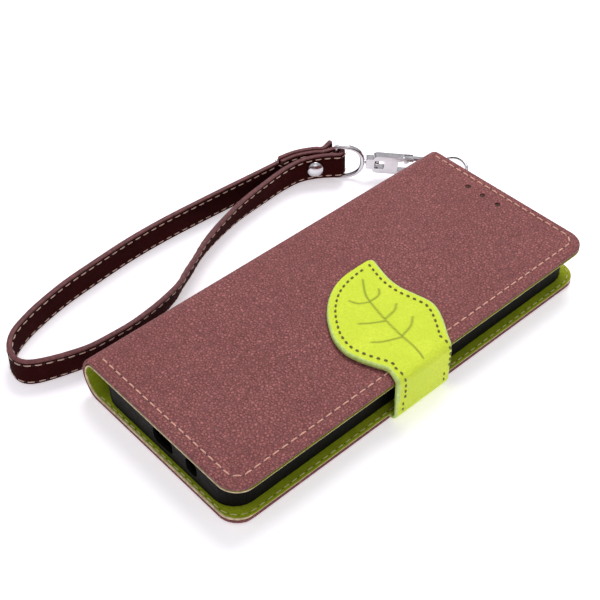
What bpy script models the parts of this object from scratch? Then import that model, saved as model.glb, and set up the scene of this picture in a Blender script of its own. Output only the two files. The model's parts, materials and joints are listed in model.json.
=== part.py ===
"""Phone wallet case with a leaf-shaped closing flap and a riveted wrist strap.

Frame: +Z up, origin at the middle of the back cover's underside. The spine is on the -X side,
the closing flap on the +X side, the earpiece end at +Y and the port end at -Y. The case lies
closed on its back, and the strap stands on edge beside the spine. All sizes are in millimetres.
"""
import math

import bmesh
import bpy
from mathutils import Matrix, Vector

MM = 0.001
UP = Vector((0, 0, 1))
GAP = 0.2                    # between flat layers
CLEAR = 0.3                  # between other neighbours

# Covers
HALF_LENGTH = 75.0
COVER_RIGHT = 36.0           # front cover's free edge
BACK_RIGHT = 35.0            # back cover's edge, which the flap comes out of
PLATE_LEFT = -30.0           # where the stiff plates end, beside the creases
CORNER = 7.0
SPINE_CORNER = 1.5
RIM = 3.5                    # width of the turned edge round each board
SKIN = 0.6
BACK_RIM_TOP = 1.3
BACK_TOP = 2.4
COVER_LOW = 14.9
COVER_TOP = 17.0
COVER_RIM_LOW = 15.6
LINING = 0.5

# Creases and spine
CREASE_X = -31.5
BACK_CREASE_Z = 1.3
FRONT_CREASE_Z = 16.0
SPINE_CENTRE = (-26.8, 8.3)
SPINE_RADIUS = 9.4
SPINE_SKIN = 1.0
SPINE_LINING = 0.6
SPINE_ENDS = (2.9, 14.6)

# Phone shell
SHELL_X = (-30.8, 31.8)
SHELL_HALF_LENGTH = 73.2
SHELL_Z = (BACK_TOP + CLEAR, 12.3)
SHELL_WALL = 1.2
SHELL_FLOOR = 1.0
SHELL_CORNER = 8.0
PORT_CUTS = ((1.3, 9.0), (14.4, 5.0))      # centre and width
PORT_CUT_Z = (5.0, 11.0)
CAMERA_CENTRE = (-14.0, 58.0)
CAMERA_SIZE = (22.0, 10.0)

# Earpiece holes and pockets
EARPIECE_X = (-10.2, -3.6, 3.0)
EARPIECE_Y = 68.0
EARPIECE_RADIUS = 1.0
POCKET = 0.3
POCKET_X = (-25.0, 31.0)
CARD_TOPS = (12.0, -2.0, -16.0)
CARD_FOOT = -64.0
CASH_TOP = 58.0

# Flap and leaf
BAND_X = (36.3, 37.7)
BAND_Z = (2.7, 16.0)
BAND_Y = (-15.0, 8.0)
FLAP_AXIS = (36.0, 0.0, 1.4)
LEAF_AXIS = (36.9, 0.0, 17.4)
LEAF_ROOT = 35.3
LEAF_Z = (17.2, 18.1, 18.3, 19.0)          # backing, then outer layer
MAGNET_RADIUS = 5.0
MAGNET_PLACE = (9.0, 2.0)

# Strap
STRAP_WIDTH = 10.5
STRAP_THICK = 1.8
LAYER_PITCH = STRAP_THICK + CLEAR
RING_WIRE = 0.9
BAR = Vector((-60.0, 53.4, 0.0))
RING_HALF_HEIGHT = 6.7
RING_MIDDLE_Z = RING_WIRE + RING_HALF_HEIGHT
RING_DEPTH = 9.2
CLASP_ANGLE = math.radians(48.3)
CLASP_REACH = 28.0           # from the ring's bow to the lug ring's wire
HOOK_Z = 4.3
WRAP_RADIUS = RING_WIRE + CLEAR + STRAP_THICK / 2
RIVET_BEFORE_BAR = 9.0
RIVET_POST = 1.0
RIVET_CAP = 3.25
CAP_GAP = 0.9                # room for the curve and lean of the strap under the cap

# Clasp, along its own axis from the ring's bow
CLASP_HALF_THICK = 1.5
CLASP_HALF_HEIGHT = 3.6
COLLAR = (1.3, 4.4)
COLLAR_HALF_HEIGHT = 2.1
HEAD_WINDOW = (4.4, 8.0, 1.7, 0.4, 0.4)    # start, end, half height, corners
HOOK_WINDOW = (13.0, 30.0, 2.4, 2.2, 0.3)
CLASP_END = 32.5
GATE = (15.2, 25.0)
GATE_PIVOT = (16.2, 3.0)
GATE_LOW = 2.5
GATE_TOP = 3.5
GATE_HALF_THICK = 0.8
PIN_RADIUS = 0.35
POST_RADIUS = 0.65

# Lug
LUG_RADIUS = 5.2
LUG_WIRE = 0.65
LUG_TILT = math.radians(25.0)
TAB_ANGLE = math.radians(120.0)
TAB_HALF_WIDTH = 2.2
TAB_Z = (0.75, 1.3)
TAB_LOOP_Z = 2.0
TAB_LOOP_RADIUS = 1.9
TAB_HOLE = 1.2
TAB_ROOT = 13.0              # from the lug ring's wire back into the cover


def flat(angle):
    """Return the horizontal unit vector at an angle from +X."""
    return Vector((math.cos(angle), math.sin(angle), 0.0))


AXIS_FLAT = flat(CLASP_ANGLE)
BOW = BAR + AXIS_FLAT * RING_DEPTH + UP * RING_MIDDLE_Z
HOOK = BAR + AXIS_FLAT * (RING_DEPTH + CLASP_REACH) + UP * HOOK_Z
TAB_OUT = flat(TAB_ANGLE)
TAB_SIDE = flat(TAB_ANGLE - math.pi / 2)
LUG_OUT = TAB_OUT * math.cos(LUG_TILT) + UP * math.sin(LUG_TILT)
LUG_CENTRE = HOOK + TAB_SIDE * LUG_RADIUS
LUG_PIVOT = LUG_CENTRE - LUG_OUT * LUG_RADIUS


def frame(origin, u, v, w):
    """Return a matrix whose columns are three directions and an origin."""
    rotation = Matrix((u, v, w)).transposed().to_4x4()
    return Matrix.Translation(origin) @ rotation


AXIS = (HOOK - BOW).normalized()
SIDE = AXIS.cross(UP).normalized()
CLASP_UP = SIDE.cross(AXIS)
CLASP_FRAME = frame(BOW, AXIS, CLASP_UP, SIDE)
UPRIGHT = frame((0, 0, 0), Vector((1, 0, 0)), UP, Vector((0, 1, 0)))
WORLD = Matrix.Identity(4)


# ---- Building blocks -------------------------------------------------------------------------

def material(name, colour, roughness, metallic=0.0):
    """Return a Principled material."""
    made = bpy.data.materials.new(name)
    made.use_nodes = True
    shader = made.node_tree.nodes["Principled BSDF"]
    shader.inputs["Base Color"].default_value = (*colour, 1.0)
    shader.inputs["Roughness"].default_value = roughness
    shader.inputs["Metallic"].default_value = metallic
    made.diffuse_color = (*colour, 1.0)
    return made


def make(name, bm, finish, origin=(0, 0, 0)):
    """Turn a mesh in millimetres into an object with its origin at a point on its joint."""
    bmesh.ops.recalc_face_normals(bm, faces=bm.faces)
    bmesh.ops.translate(bm, verts=bm.verts, vec=-Vector(origin))
    bmesh.ops.scale(bm, verts=bm.verts, vec=(MM, MM, MM))
    mesh = bpy.data.meshes.new(name)
    bm.to_mesh(mesh)
    bm.free()
    obj = bpy.data.objects.new(name, mesh)
    obj.location = Vector(origin) * MM
    bpy.context.collection.objects.link(obj)
    if finish:
        mesh.materials.append(finish)
    return obj


def shape(obj, bm, operation="DIFFERENCE"):
    """Cut a second mesh out of an object, or join it on."""
    cutter = make(obj.name + "_cutter", bm, None)
    cutter.hide_render = True
    cutter.display_type = "WIRE"
    modifier = obj.modifiers.new("shape", "BOOLEAN")
    modifier.operation = operation
    modifier.solver = "EXACT"
    modifier.object = cutter


def loft(rings, closed=False):
    """Skin a row of equal rings, with caps unless the row closes on itself."""
    bm = bmesh.new()
    rows = [[bm.verts.new(point) for point in ring] for ring in rings]
    pairs = list(zip(rows, rows[1:]))
    if closed:
        pairs.append((rows[-1], rows[0]))
    else:
        bm.faces.new(rows[0])
        bm.faces.new(rows[-1])
    count = len(rows[0])
    for low, high in pairs:
        for i in range(count):
            j = (i + 1) % count
            bm.faces.new((low[i], low[j], high[j], high[i]))
    return bm


def prism(outline, low, high, place=WORLD):
    """Extrude an outline between two heights, in a frame."""
    rings = [[place @ Vector((u, v, w)) for u, v in outline] for w in (low, high)]
    return loft(rings)


def arc(centre, radius, start, stop, steps):
    """Return points on an arc, both ends included, with angles in degrees."""
    angles = [math.radians(start + (stop - start) * i / steps) for i in range(steps + 1)]
    return [(centre[0] + radius * math.cos(a), centre[1] + radius * math.sin(a)) for a in angles]


def rounded(x_range, y_range, right, left=None, steps=6):
    """Return a rectangle's outline with round corners on its right and left sides."""
    left = right if left is None else left
    (x0, x1), (y0, y1) = x_range, y_range
    corners = ((x1, y0, right, 1, 1, -90), (x1, y1, right, 1, -1, 0),
               (x0, y1, left, -1, -1, 90), (x0, y0, left, -1, 1, 180))
    points = []
    for x, y, radius, side, up, start in corners:
        centre = (x - side * radius, y + up * radius)
        points += arc(centre, radius, start, start + 90, steps)
    return points


def circle(centre, radius, steps=16):
    """Return a circle's outline."""
    return arc(centre, radius, 0, 360 - 360 / steps, steps - 1)


def box(low, high):
    """Return a block between two corners."""
    outline = ((low[0], low[1]), (high[0], low[1]), (high[0], high[1]), (low[0], high[1]))
    return prism(outline, low[2], high[2])


def turned(profile, place, steps=16):
    """Turn a closed profile of (distance along, radius) points about a frame's third axis."""
    rings = []
    for along, radius in profile:
        rings.append([place @ Vector((*point, along)) for point in circle((0, 0), radius, steps)])
    return loft(rings)


def wire(points, normal, radius, sides=8):
    """Sweep a round wire along a closed flat path."""
    rings = []
    count = len(points)
    for i, point in enumerate(points):
        tangent = (points[(i + 1) % count] - points[i - 1]).normalized()
        across = normal.cross(tangent).normalized()
        rings.append([point + across * u + normal * v for u, v in circle((0, 0), radius, sides)])
    return loft(rings, closed=True)


# ---- Covers ----------------------------------------------------------------------------------

def cover_outline(right, inset=0.0):
    """Return a cover's outline: round corners on the flap side, nearly square by the spine."""
    length = (-HALF_LENGTH + inset, HALF_LENGTH - inset)
    spine_corner = SPINE_CORNER - inset / 4
    return rounded((PLATE_LEFT + inset, right - inset), length, CORNER - inset, spine_corner)


def camera_cutter():
    """Return the camera window's cutter, through the shell and the back cover."""
    x, y = CAMERA_CENTRE
    half_x, half_y = CAMERA_SIZE[0] / 2, CAMERA_SIZE[1] / 2
    outline = rounded((x - half_x, x + half_x), (y - half_y, y + half_y), half_y - 0.5)
    return prism(outline, -1.0, SHELL_Z[0] + SHELL_FLOOR + 1.0)


def back_skin():
    """Make the outer leather of the back cover, with its turned edge and the tab's slot."""
    leather = material("back_skin", (0.26, 0.10, 0.10), 0.55)
    obj = make("back_skin", prism(cover_outline(BACK_RIGHT), 0.0, BACK_RIM_TOP), leather)
    shape(obj, prism(cover_outline(BACK_RIGHT, RIM), SKIN, BACK_RIM_TOP + 1))
    slot = TAB_HALF_WIDTH + CLEAR
    outline = ((2.0, -slot), (TAB_ROOT + 1, -slot), (TAB_ROOT + 1, slot), (2.0, slot))
    shape(obj, prism(outline, SKIN, BACK_RIM_TOP + 1, frame(tab_origin(), -TAB_OUT, TAB_SIDE, UP)))
    shape(obj, camera_cutter())


def back_board():
    """Make the stiff card inside the back cover, short of the strap tab."""
    card = material("back_board", (0.45, 0.40, 0.33), 0.9)
    outline = cover_outline(BACK_RIGHT, RIM + CLEAR)
    obj = make("back_board", prism(outline, SKIN + GAP, BACK_RIM_TOP), card)
    slot = TAB_HALF_WIDTH + CLEAR
    outline = ((0.0, -slot), (TAB_ROOT + 1, -slot), (TAB_ROOT + 1, slot), (0.0, slot))
    shape(obj, prism(outline, 0.0, 2.0, frame(tab_origin(), -TAB_OUT, TAB_SIDE, UP)))
    shape(obj, camera_cutter())


def back_lining():
    """Make the green lining that the shell is glued to."""
    green = material("back_lining", (0.30, 0.33, 0.04), 0.6)
    solid = prism(cover_outline(BACK_RIGHT), BACK_RIM_TOP + GAP, BACK_TOP)
    shape(make("back_lining", solid, green), camera_cutter())


def phone_shell():
    """Make the black tray that clips round the phone, with its port cut-outs."""
    black = material("phone_shell", (0.03, 0.025, 0.02), 0.35)
    length = (-SHELL_HALF_LENGTH, SHELL_HALF_LENGTH)
    obj = make("phone_shell", prism(rounded(SHELL_X, length, SHELL_CORNER), *SHELL_Z), black)
    inner_x = (SHELL_X[0] + SHELL_WALL, SHELL_X[1] - SHELL_WALL)
    inner_y = (length[0] + SHELL_WALL, length[1] - SHELL_WALL)
    hollow = rounded(inner_x, inner_y, SHELL_CORNER - SHELL_WALL)
    shape(obj, prism(hollow, SHELL_Z[0] + SHELL_FLOOR, SHELL_Z[1] + 1))
    for x, width in PORT_CUTS:
        outline = rounded((x - width / 2, x + width / 2), PORT_CUT_Z, 2.0)
        shape(obj, prism(outline, length[0] - 1, length[0] + SHELL_WALL + 1, UPRIGHT))
    shape(obj, camera_cutter())


def earpiece_cutter(x):
    """Return the cutter of one earpiece hole through the front cover."""
    return prism(circle((x, EARPIECE_Y), EARPIECE_RADIUS, 12), 12.0, 18.0)


def front_cover():
    """Make the front cover: outer leather with a turned edge, board and lining."""
    leather = material("cover_skin", (0.26, 0.10, 0.10), 0.55)
    card = material("cover_board", (0.45, 0.40, 0.33), 0.9)
    green = material("cover_lining", (0.30, 0.33, 0.04), 0.6)
    crease = (CREASE_X, 0, FRONT_CREASE_Z)
    under_skin = COVER_TOP - SKIN
    outline = cover_outline(COVER_RIGHT)
    skin = make("cover_skin", prism(outline, COVER_RIM_LOW, COVER_TOP), leather, crease)
    shape(skin, prism(cover_outline(COVER_RIGHT, RIM), COVER_RIM_LOW - 1, under_skin))
    inner = cover_outline(COVER_RIGHT, RIM + CLEAR)
    board = make("cover_board", prism(inner, COVER_RIM_LOW, under_skin - GAP), card, crease)
    magnet_hole = circle(MAGNET_PLACE, MAGNET_RADIUS + CLEAR, 24)
    shape(board, prism(magnet_hole, COVER_RIM_LOW - 1, COVER_TOP))
    lining = make("cover_lining", prism(outline, COVER_LOW, COVER_LOW + LINING), green, crease)
    for x in EARPIECE_X:
        for layer in (skin, board, lining):
            shape(layer, earpiece_cutter(x))
    steel = material("cover_magnet", (0.5, 0.5, 0.5), 0.35, 1.0)
    disc = prism(circle(MAGNET_PLACE, MAGNET_RADIUS, 24), COVER_RIM_LOW, under_skin - GAP)
    make("cover_magnet", disc, steel, crease)


def pockets():
    """Make the cash pocket and the card pockets, one below the other inside the front cover."""
    crease = (CREASE_X, 0, FRONT_CREASE_Z)
    tops = (CASH_TOP, *CARD_TOPS)
    names = ("cash_pocket", "card_pocket_1", "card_pocket_2", "card_pocket_3")
    high = COVER_LOW - GAP
    for name, top in zip(names, tops):
        green = material(name, (0.30, 0.33, 0.04), 0.6)
        outline = rounded(POCKET_X, (CARD_FOOT, top), 2.0, steps=3)
        make(name, prism(outline, high - POCKET, high), green, crease)
        high -= POCKET + GAP


def spine_strip(name, outer, thick, colour):
    """Make one curved layer of the spine."""
    finish = material(name, colour, 0.55)
    x, z = SPINE_CENTRE
    ends = []
    for radius in (outer, outer - thick):
        low = 180 + math.degrees(math.asin((z - SPINE_ENDS[0]) / radius))
        high = 180 - math.degrees(math.asin((SPINE_ENDS[1] - z) / radius))
        ends.append((radius, low, high))
    (radius, low, high), (inner, inner_low, inner_high) = ends
    outline = arc((x, z), radius, low, high, 14) + arc((x, z), inner, inner_high, inner_low, 14)
    solid = prism(outline, -HALF_LENGTH, HALF_LENGTH, UPRIGHT)
    make(name, solid, finish, (CREASE_X, 0, BACK_CREASE_Z))


def spine():
    """Make the spine's outer leather and its lining."""
    spine_strip("spine_skin", SPINE_RADIUS, SPINE_SKIN, (0.26, 0.10, 0.10))
    inner = SPINE_RADIUS - SPINE_SKIN - GAP
    spine_strip("spine_lining", inner, SPINE_LINING, (0.30, 0.33, 0.04))


# ---- Closing flap ----------------------------------------------------------------------------

def flap_band():
    """Make the band that comes up the side of the case."""
    lime = material("flap_band", (0.70, 0.80, 0.07), 0.5)
    solid = box((BAND_X[0], BAND_Y[0], BAND_Z[0]), (BAND_X[1], BAND_Y[1], BAND_Z[1]))
    make("flap_band", solid, lime, FLAP_AXIS)


def leaf_outline():
    """Return the leaf's outline: a broad leaf with a slightly hooked tip, hand drawn."""
    upper = ((LEAF_ROOT, 9.0), (30.2, 12.5), (25.6, 15.1), (21.4, 16.2), (16.3, 15.3),
             (10.9, 14.1), (5.2, 14.2), (-1.2, 15.8), (-4.9, 16.3))
    lower = ((-5.6, 13.0), (-5.6, 7.5), (-4.3, 0.7), (-2.0, -4.6), (1.9, -9.6), (6.5, -13.5),
             (12.6, -17.0), (18.7, -18.3), (23.7, -17.4), (28.4, -15.6), (LEAF_ROOT, -14.6))
    return upper + lower


def leaf():
    """Make the leaf: its backing with a pocket for the magnet, the magnet and the outer layer."""
    lime = material("leaf_outer", (0.78, 0.90, 0.09), 0.5)
    plain = material("leaf_backing", (0.60, 0.68, 0.10), 0.7)
    steel = material("leaf_magnet", (0.5, 0.5, 0.5), 0.35, 1.0)
    low, high, outer_low, top = LEAF_Z
    floor = low + 0.35
    outline = leaf_outline()
    backing = make("leaf_backing", prism(outline, low, high), plain, LEAF_AXIS)
    shape(backing, prism(circle(MAGNET_PLACE, MAGNET_RADIUS + CLEAR, 24), floor, high + 1))
    disc = prism(circle(MAGNET_PLACE, MAGNET_RADIUS, 24), floor + GAP / 2, high)
    make("leaf_magnet", disc, steel, LEAF_AXIS)
    make("leaf_outer", prism(outline, outer_low, top), lime, LEAF_AXIS)


# ---- Strap lug -------------------------------------------------------------------------------

def tab_origin():
    """Return the point on the floor below the lug ring's pivot."""
    return Vector((LUG_PIVOT.x, LUG_PIVOT.y, 0.0))


def strap_tab():
    """Make the leather tab: a thin tail under the lining that loops round the lug ring."""
    leather = material("strap_tab", (0.05, 0.012, 0.012), 0.55)
    low, high = TAB_Z
    loop = arc((0.0, TAB_LOOP_Z), TAB_LOOP_RADIUS, -15, 300, 16)
    outline = [(TAB_ROOT, low), (TAB_ROOT, high), (2.6, high)] + loop + [(2.2, low)]
    place = frame(tab_origin(), -TAB_OUT, UP, TAB_SIDE)
    solid = prism(outline, -TAB_HALF_WIDTH, TAB_HALF_WIDTH, place)
    obj = make("strap_tab", solid, leather)
    hole = circle((0.0, TAB_LOOP_Z), TAB_HOLE, 12)
    shape(obj, prism(hole, -TAB_HALF_WIDTH - 1, TAB_HALF_WIDTH + 1, place))


def lug_ring():
    """Make the ring that hangs in the tab and carries the clasp."""
    chrome = material("lug_ring", (0.8, 0.8, 0.82), 0.12, 1.0)
    normal = TAB_SIDE.cross(LUG_OUT)
    outline = circle((0, 0), LUG_RADIUS, 32)
    points = [LUG_CENTRE + TAB_SIDE * u + LUG_OUT * v for u, v in outline]
    make("lug_ring", wire(points, normal, LUG_WIRE), chrome, LUG_PIVOT)


# ---- Clasp -----------------------------------------------------------------------------------

PIN_CLEAR = 0.1
MOUTH_FROM_GATE = 3.2         # where the hook's mouth starts, past the gate's root
SLOT_FROM_GATE = 0.6          # how far the gate's slot reaches behind its root
GATE_HEEL = 0.9               # lowest point of the gate's heel
RING_SQUARENESS = 0.8         # under 1 fills out the D-ring's corners
POST_HEAD_RADIUS = 1.3
POST_HEAD_THICK = 1.4
SPRING_TURNS = 3
SPRING_RADIUS = 0.42
SPRING_WIRE = 0.13
SPRING_SIDE = 1.4             # how far the spring lies from the clasp's middle line


def clasp_hook():
    """Make the clasp's body: collar, swivel window, ears for the gate and the hook."""
    chrome = material("clasp_hook", (0.8, 0.8, 0.82), 0.12, 1.0)
    half = CLASP_HALF_THICK
    tall = CLASP_HALF_HEIGHT
    body = rounded((COLLAR[1] - 0.6, CLASP_END), (-tall, tall), tall - 0.1, 1.6, steps=8)
    obj = make("clasp_hook", prism(body, -half, half, CLASP_FRAME), chrome, HOOK)
    collar = rounded((COLLAR[0], COLLAR[1] + 1), (-COLLAR_HALF_HEIGHT, COLLAR_HALF_HEIGHT), 0.6)
    shape(obj, prism(collar, -half, half, CLASP_FRAME), "UNION")
    for low, high, reach, right, left in (HEAD_WINDOW, HOOK_WINDOW):
        window = rounded((low, high), (-reach, reach), right, left)
        shape(obj, prism(window, -half - 1, half + 1, CLASP_FRAME))
    along = frame(BOW, CLASP_UP, SIDE, AXIS)
    shape(obj, turned(((0.5, POST_RADIUS + CLEAR), (5.0, POST_RADIUS + CLEAR)), along))
    nose = GATE[1] + CLEAR
    start = GATE[0] + MOUTH_FROM_GATE
    mouth = ((start, GATE_LOW - 1), (nose, GATE_LOW - 1), (nose, tall + 1), (start, tall + 1))
    shape(obj, prism(mouth, -half - 1, half + 1, CLASP_FRAME))
    start = GATE[0] - SLOT_FROM_GATE
    slot = ((start, 0.0), (nose, 0.0), (nose, tall + 1), (start, tall + 1))
    shape(obj, prism(slot, -GATE_HALF_THICK - CLEAR, GATE_HALF_THICK + CLEAR, CLASP_FRAME))
    hole = circle(GATE_PIVOT, PIN_RADIUS + PIN_CLEAR, 10)
    shape(obj, prism(hole, -half - 1, half + 1, CLASP_FRAME))


def clasp_gate():
    """Make the sprung gate: a bar across the hook's mouth, with a heel that the spring pushes."""
    chrome = material("clasp_gate", (0.8, 0.8, 0.82), 0.12, 1.0)
    back = GATE[0]
    outline = ((back, GATE_HEEL), (back + 1.2, GATE_HEEL), (back + 2.4, GATE_LOW), (GATE[1], GATE_LOW),
               (GATE[1], GATE_TOP), (back, GATE_TOP))
    pivot = CLASP_FRAME @ Vector((*GATE_PIVOT, 0.0))
    thick = GATE_HALF_THICK
    obj = make("clasp_gate", prism(outline, -thick, thick, CLASP_FRAME), chrome, pivot)
    hole = circle(GATE_PIVOT, PIN_RADIUS + PIN_CLEAR, 10)
    shape(obj, prism(hole, -3.0, 3.0, CLASP_FRAME))


def gate_pin():
    """Make the pin that the gate turns on."""
    steel = material("gate_pin", (0.6, 0.6, 0.6), 0.3, 1.0)
    half = CLASP_HALF_THICK
    make("gate_pin", prism(circle(GATE_PIVOT, PIN_RADIUS, 10), -half, half, CLASP_FRAME), steel, HOOK)


def gate_spring():
    """Make the small coil between the clasp's body and the gate's heel."""
    steel = material("gate_spring", (0.6, 0.6, 0.6), 0.3, 1.0)
    steps = 12 * SPRING_TURNS
    start = HOOK_WINDOW[0] + 0.3
    length = GATE[0] - CLEAR - start - 0.2
    rings = []
    for i in range(steps + 1):
        turn = 2 * math.pi * SPRING_TURNS * i / steps
        outward = CLASP_UP * math.cos(turn) + SIDE * math.sin(turn)
        middle = CLASP_FRAME @ Vector((start + length * i / steps, SPRING_SIDE, 0.0))
        centre = middle + outward * SPRING_RADIUS
        section = circle((0, 0), SPRING_WIRE, 6)
        rings.append([centre + outward * u + AXIS * v for u, v in section])
    make("gate_spring", loft(rings), steel, HOOK)


def d_ring():
    """Make the ring that the strap wraps round, with the swivel post that turns in the clasp."""
    chrome = material("d_ring", (0.8, 0.8, 0.82), 0.12, 1.0)
    middle = BAR + UP * RING_MIDDLE_Z
    points = []
    steps = 18
    for i in range(steps + 1):
        turn = math.pi * (i / steps - 0.5)
        out = RING_DEPTH * math.cos(turn) ** RING_SQUARENESS
        rise = RING_HALF_HEIGHT * math.copysign(abs(math.sin(turn)) ** RING_SQUARENESS, turn)
        points.append(middle + AXIS_FLAT * max(out, 0.0) + UP * rise)
    for share in (0.5, 0.0, -0.5):
        points.append(middle + UP * (RING_HALF_HEIGHT * share))
    normal = AXIS_FLAT.cross(UP)
    obj = make("d_ring", wire(points, normal, RING_WIRE), chrome, BOW)
    head = HEAD_WINDOW[0] + CLEAR
    profile = ((0.0, POST_RADIUS), (head, POST_RADIUS), (head + 0.05, POST_HEAD_RADIUS),
               (head + POST_HEAD_THICK, POST_HEAD_RADIUS))
    shape(obj, turned(profile, frame(BOW, CLASP_UP, SIDE, AXIS)), "UNION")


# ---- Strap -----------------------------------------------------------------------------------

# Each point is x, y, height of the lower edge and lean of the upper edge to the left in degrees.
OUTER_RUN = ((-72.1, 35.5, 0.7, 4), (-73.0, 26.0, 0.4, 5), (-74.1, 14.0, 0.1, 5),
             (-75.0, 0.0, 0.0, 5), (-75.6, -15.0, 0.0, 5), (-75.3, -30.0, 0.0, 5),
             (-73.8, -46.0, 0.0, 5), (-72.3, -58.0, 0.0, 5), (-69.8, -69.0, 0.0, 5),
             (-67.5, -76.0, 0.0, 5), (-64.5, -82.0, 0.0, 4), (-60.5, -85.8, 0.0, 3),
             (-56.5, -87.4, 0.0, 2), (-53.0, -87.3, 0.0, 0), (-50.3, -85.4, 0.0, -3),
             (-48.3, -81.6, 0.0, -6))
INNER_RUN = ((-46.4, -76.0, 0.0, -9), (-44.3, -68.0, 0.0, -11), (-43.8, -60.0, 0.0, -12),
             (-44.1, -52.0, 0.0, -14), (-45.4, -44.0, 0.0, -16), (-47.2, -37.0, 0.0, -18),
             (-49.4, -31.0, 0.0, -20), (-52.0, -26.5, 0.0, -20), (-55.3, -20.0, 0.0, -20),
             (-59.2, -13.0, 0.0, -20), (-62.2, -5.5, 0.0, -19), (-64.8, 3.4, 0.0, -17),
             (-66.5, 12.0, 0.1, -14), (-67.4, 24.0, 0.4, -9), (-67.6, 33.0, 0.9, -6),
             (-66.6, 40.4, 1.4, -4), (-63.9, 45.9, 1.8, -2), (-60.8, 49.4, 2.2, 0))
LAYERED_POINTS = (3, 10)      # counted back from the ring's bar
TAIL_END = (-66.1, 55.8, 2.2, 0)


def smooth(points, step=2.0):
    """Return points of a Catmull-Rom curve through the given ones."""
    vectors = [Vector(point) for point in points]
    vectors = [2 * vectors[0] - vectors[1]] + vectors + [2 * vectors[-1] - vectors[-2]]
    path = []
    for a, b, c, d in zip(vectors, vectors[1:], vectors[2:], vectors[3:]):
        count = max(1, round((c.xy - b.xy).length / step))
        for i in range(count):
            t = i / count
            path.append(0.5 * (2 * b + (c - a) * t + (2 * a - 5 * b + 4 * c - d) * t ** 2
                               + (3 * b - a - 3 * c + d) * t ** 3))
    return path + [vectors[-2]]


def left_of(path, i):
    """Return the horizontal unit vector to the left of a path at one of its points."""
    ahead = path[min(i + 1, len(path) - 1)].xy - path[max(i - 1, 0)].xy
    return Vector((-ahead.y, ahead.x)).normalized()


def beside(path, offset, keep):
    """Return the part of a path that keep accepts, moved to its left."""
    moved = []
    for i, point in enumerate(path):
        if keep(i):
            place = point.xy + left_of(path, i) * offset
            moved.append((place.x, place.y, point.z, point.w))
    return moved


def in_layers(inner, i):
    """Tell whether the tail and the fold-back lie against this point of the inner run."""
    first, last = LAYERED_POINTS
    return first <= len(inner) - 1 - i <= last


def inner_path():
    """Return the inner run, which ends straight beside the ring's bar."""
    left = Vector((-AXIS_FLAT.y, AXIS_FLAT.x))
    height = RING_MIDDLE_Z - STRAP_WIDTH / 2
    start = BAR.xy - left * WRAP_RADIUS
    return smooth(INNER_RUN + ((start.x, start.y, height, 0),))


def strap_path():
    """Return the whole strap: tail, outer run, turn, inner run, wrap and fold-back."""
    inner = inner_path()
    near = beside(inner, 2 * LAYER_PITCH, lambda i: in_layers(inner, i))
    outer = smooth((TAIL_END, *near[::-1], *OUTER_RUN, *INNER_RUN[:1]))[:-1]
    height = RING_MIDDLE_Z - STRAP_WIDTH / 2
    start = math.degrees(CLASP_ANGLE) - 90
    wrap = [Vector((*point, height, 0)) for point in arc(BAR.xy, WRAP_RADIUS, start, start + 180, 10)]
    folded = beside(inner, LAYER_PITCH, lambda i: in_layers(inner, i))
    back = smooth((tuple(wrap[-1]), *folded[::-1]))
    return outer + inner[:-1] + wrap + back[1:]


def strap_section(path, i):
    """Return the strap's rectangular section at one point of its path."""
    point = path[i]
    left = Vector((*left_of(path, i), 0.0))
    lean = math.radians(point.w)
    rise = UP * math.cos(lean) + left * math.sin(lean)
    across = left * math.cos(lean) - UP * math.sin(lean)
    half = STRAP_THICK / 2
    foot = Vector((point.x, point.y, point.z + half * abs(math.sin(lean))))
    top = foot + rise * STRAP_WIDTH
    return [foot - across * half, foot + across * half, top + across * half, top - across * half]


def rivet_frame():
    """Return the rivet's frame: its third axis points from the cap's side to the head's side."""
    inner = inner_path()
    run = 0.0
    i = len(inner) - 1
    while run < RIVET_BEFORE_BAR:
        run += (inner[i].xy - inner[i - 1].xy).length
        i -= 1
    outward = Vector((*left_of(inner, i), 0.0))
    centre = Vector((inner[i].x, inner[i].y, inner[i].z + STRAP_WIDTH / 2))
    return frame(centre, outward.cross(UP), UP, outward)


def strap():
    """Make the strap and the rivet that holds its three layers together."""
    leather = material("strap_band", (0.035, 0.008, 0.008), 0.5)
    chrome = material("rivet_cap", (0.8, 0.8, 0.82), 0.12, 1.0)
    steel = material("rivet_post", (0.7, 0.7, 0.72), 0.25, 1.0)
    path = strap_path()
    sections = [strap_section(path, i) for i in range(len(path))]
    band = make("strap_band", loft(sections), leather, BAR)
    place = rivet_frame()
    shape(band, turned(((-3.0, RIVET_POST + CLEAR), (9.0, RIVET_POST + CLEAR)), place))
    face = STRAP_THICK / 2
    dome = [(-face - CAP_GAP, RIVET_CAP)]
    for degrees in (15, 40, 65, 85):
        turn = math.radians(degrees)
        dome.append((-face - CAP_GAP - 0.3 - 1.2 * math.sin(turn), RIVET_CAP * math.cos(turn)))
    make("rivet_cap", turned(dome, place, 20), chrome, BAR)
    far = face + 2 * LAYER_PITCH + CAP_GAP
    post = ((-face, RIVET_POST), (far, RIVET_POST), (far + 0.05, 2.6), (far + 0.7, 2.6))
    make("rivet_post", turned(post, place), steel, BAR)


def build():
    """Make every piece."""
    for obj in list(bpy.data.objects):
        bpy.data.objects.remove(obj)
    for maker in (back_skin, back_board, back_lining, phone_shell, front_cover, pockets, spine,
                  flap_band, leaf, strap_tab, lug_ring, clasp_hook, clasp_gate, gate_pin,
                  gate_spring, d_ring, strap):
        maker()


build()
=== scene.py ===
"""Looks of the phone wallet case: leather, linings, stitching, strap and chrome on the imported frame.

Sizes here are in millimetres, in the frame's own axes, and become metres when a mesh is made.
"""
import json
import math

import bmesh
import bpy
from mathutils import Matrix, Vector


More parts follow.
